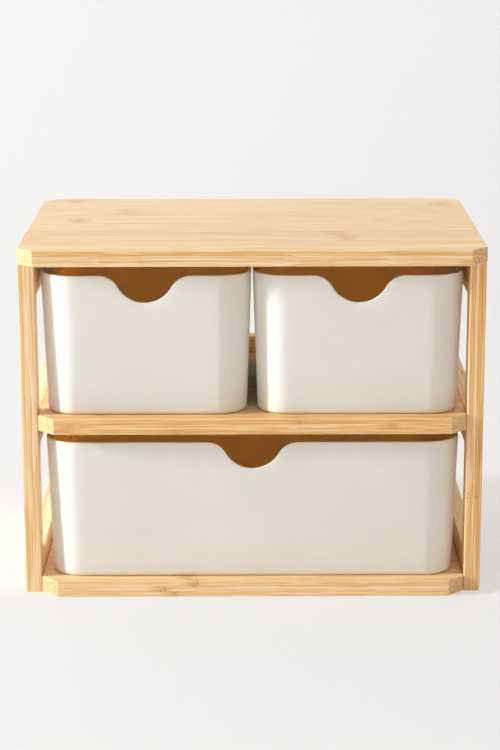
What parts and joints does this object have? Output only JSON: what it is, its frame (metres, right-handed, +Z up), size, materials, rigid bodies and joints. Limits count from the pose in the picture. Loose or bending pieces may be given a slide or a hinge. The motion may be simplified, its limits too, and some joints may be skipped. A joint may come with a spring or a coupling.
{
  "type": "desktop mini drawers",
  "caption": "Open bamboo desktop case with pull-out white plastic drawers that have finger scoops, for small craft supplies and parts.",
  "frame": {"origin": "centre of the footprint, on the surface the case stands on", "axes": "+X to the right seen from the front, +Y from the drawer fronts to the back, +Z up"},
  "size_m": [0.34, 0.24, 0.261],
  "materials": {
    "bamboo": "satin clear lacquer over laminated strips",
    "dowel_wood": "plain, glued in",
    "white_plastic": "fine matte moulding"
  },
  "bodies": {
    "case": {"top_board": "bamboo", "mid_shelf": "bamboo", "bottom_shelf": "bamboo", "front_left_post": "bamboo", "front_right_post": "bamboo", "rear_left_post": "bamboo", "rear_right_post": "bamboo", "left_top_rail": "bamboo", "left_middle_rail": "bamboo", "left_bottom_rail": "bamboo", "right_top_rail": "bamboo", "right_middle_rail": "bamboo", "right_bottom_rail": "bamboo", "middle_back_rail": "bamboo", "lower_back_rail": "bamboo", "side_rail_dowels": "dowel_wood", "shelf_dowels": "dowel_wood", "back_rail_dowels": "dowel_wood", "top_board_dowels": "dowel_wood"},
    "left_drawer": {"left_drawer": "white_plastic"},
    "right_drawer": {"right_drawer": "white_plastic"},
    "wide_drawer": {"wide_drawer": "white_plastic"}
  },
  "joints": [
    {"name": "left_drawer_pull", "type": "slide", "parent": "case", "child": "left_drawer", "axis": [0, -1, 0], "range_m": [0, 0.15]},
    {"name": "right_drawer_pull", "type": "slide", "parent": "case", "child": "right_drawer", "axis": [0, -1, 0], "range_m": [0, 0.15]},
    {"name": "wide_drawer_pull", "type": "slide", "parent": "case", "child": "wide_drawer", "axis": [0, -1, 0], "range_m": [0, 0.15]}
  ]
}
